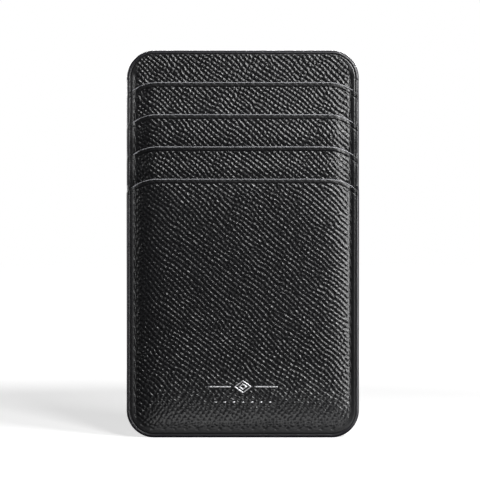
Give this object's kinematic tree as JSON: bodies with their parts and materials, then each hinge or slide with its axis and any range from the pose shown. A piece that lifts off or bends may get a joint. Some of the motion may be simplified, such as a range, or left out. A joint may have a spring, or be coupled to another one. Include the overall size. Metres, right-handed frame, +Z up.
{
  "type": "card holder",
  "caption": "Upright stitched leather card holder with stepped card slots on its front and an open-topped compartment behind them.",
  "frame": {"origin": "middle of the bottom edge, at the centre of the bounding box in X and Y", "axes": "+Z up along the height, +X across the width, and the card slots face -Y"},
  "size_m": [0.072, 0.0058, 0.12],
  "materials": {
    "grained_leather": "black cross-grain embossed, satin",
    "lining_fabric": "black plain woven",
    "edge_paint": "black flexible edge paint, satin",
    "waxed_thread": "black twisted polyester, waxed",
    "stiffener_board": "plain fibre board, hidden inside",
    "adhesive_tape": "double-sided tape, hidden inside"
  },
  "bodies": {
    "root": {"front_panel": "grained_leather", "front_pocket_lining": "lining_fabric", "slot_strip_1": "grained_leather", "slot_strip_2": "grained_leather", "slot_strip_3": "grained_leather", "pocket_lining_1": "lining_fabric", "pocket_lining_2": "lining_fabric", "pocket_lining_3": "lining_fabric", "pocket_floor_tape_1": "adhesive_tape", "pocket_floor_tape_2": "adhesive_tape", "pocket_floor_tape_3": "adhesive_tape", "centre_panel": "grained_leather", "compartment_lining_front": "lining_fabric", "seam_tape": "adhesive_tape", "compartment_lining_rear": "lining_fabric", "back_stiffener": "stiffener_board", "back_panel": "grained_leather", "edge_paint": "edge_paint", "top_edge_paint_front": "edge_paint", "top_edge_paint_rear": "edge_paint", "needle_thread": "waxed_thread", "bobbin_thread": "waxed_thread"}
  },
  "joints": []
}
